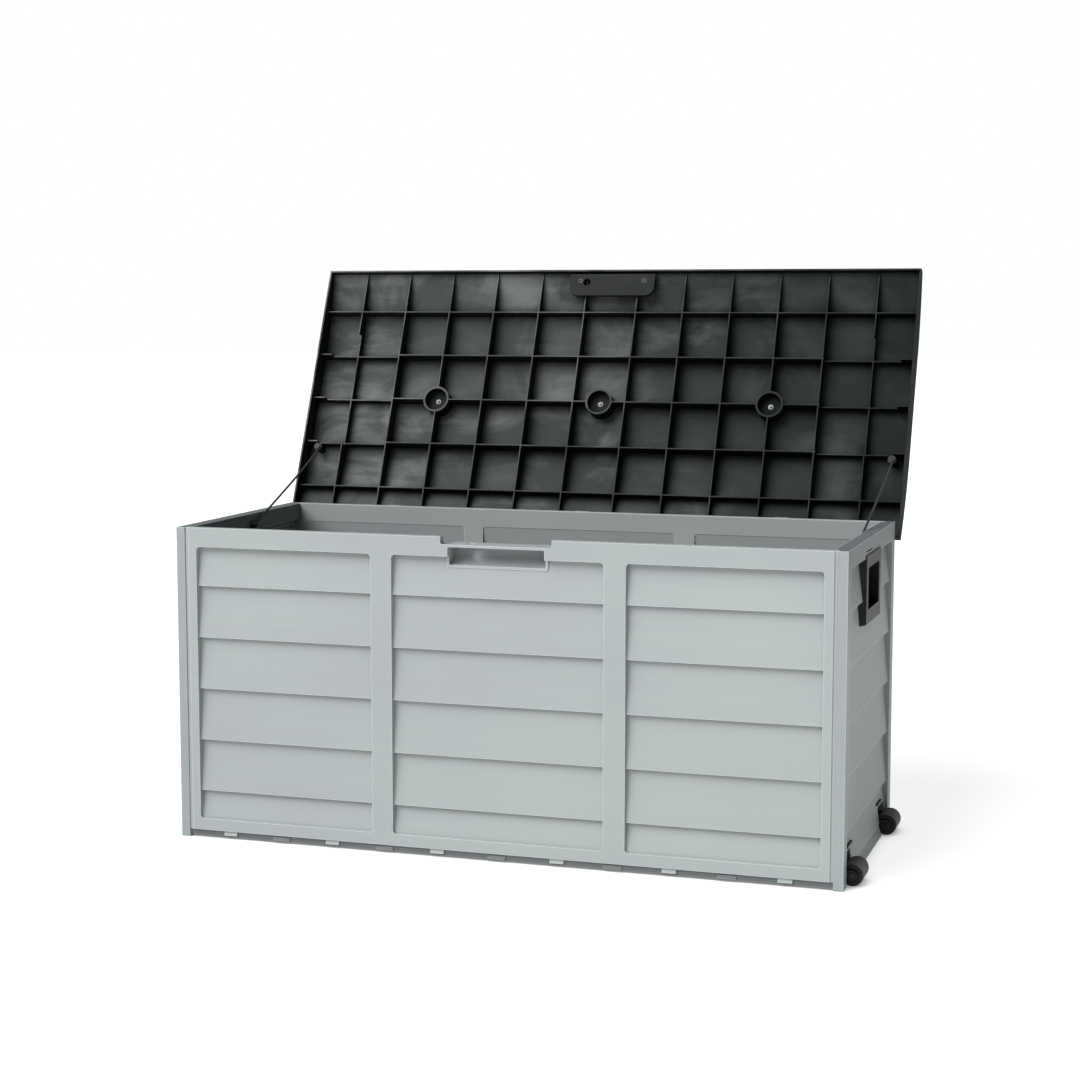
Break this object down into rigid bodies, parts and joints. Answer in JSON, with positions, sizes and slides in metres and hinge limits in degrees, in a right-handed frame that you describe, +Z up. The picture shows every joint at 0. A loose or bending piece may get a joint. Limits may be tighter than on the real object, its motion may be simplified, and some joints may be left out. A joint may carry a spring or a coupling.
{
  "type": "deck storage box",
  "caption": "Outdoor storage box of grey plastic planks with a ribbed black lid held open by cord stays, side hand grips and small wheels at its right end.",
  "frame": {"origin": "middle of the body's underside, on the ground", "axes": "+X along the box towards the wheels, the front faces -Y, +Z up"},
  "size_m": [1.1373, 0.6709, 0.9401],
  "materials": {
    "panel_grey": "satin, fine moulded grain",
    "floor_grey": "matte, moulded grain",
    "lid_black": "satin, moulded, slightly cloudy",
    "grip_black": "satin",
    "hub_black": "satin gloss",
    "tyre_grey": "matte",
    "pin_black": "satin",
    "steel": "zinc plated",
    "cord_black": "braided nylon"
  },
  "bodies": {
    "box": {"front_panel": "panel_grey", "back_panel": "panel_grey", "left_end_panel": "panel_grey", "right_end_panel": "panel_grey", "floor_panel": "floor_grey", "hinge_pins": "pin_black", "right_handle": "grip_black", "left_handle": "grip_black", "right_lid_stay": "cord_black", "left_lid_stay": "cord_black", "stay_box_screws": "steel", "front_wheel_housing": "hub_black", "front_wheel_axle": "steel", "rear_wheel_housing": "hub_black", "rear_wheel_axle": "steel"},
    "lid": {"lid": "lid_black", "latch_pad": "lid_black", "latch_pad_screws": "steel", "stay_lid_screws": "steel"},
    "front_wheel": {"front_wheel_hub": "hub_black", "front_wheel_tyre": "tyre_grey"},
    "rear_wheel": {"rear_wheel_hub": "hub_black", "rear_wheel_tyre": "tyre_grey"}
  },
  "joints": [
    {"name": "lid_hinge", "type": "hinge", "parent": "box", "child": "lid", "pos_m": [0, 0.2425, 0.507], "axis": [1, 0, 0], "range_deg": [0, 113.65], "deforming": ["right_lid_stay", "left_lid_stay"]},
    {"name": "front_wheel_spin", "type": "hinge", "parent": "box", "child": "front_wheel", "pos_m": [0.56, -0.1645, 0.0175], "axis": [0, 1, 0], "continuous": true},
    {"name": "rear_wheel_spin", "type": "hinge", "parent": "box", "child": "rear_wheel", "pos_m": [0.56, 0.1645, 0.0175], "axis": [0, 1, 0], "continuous": true}
  ]
}
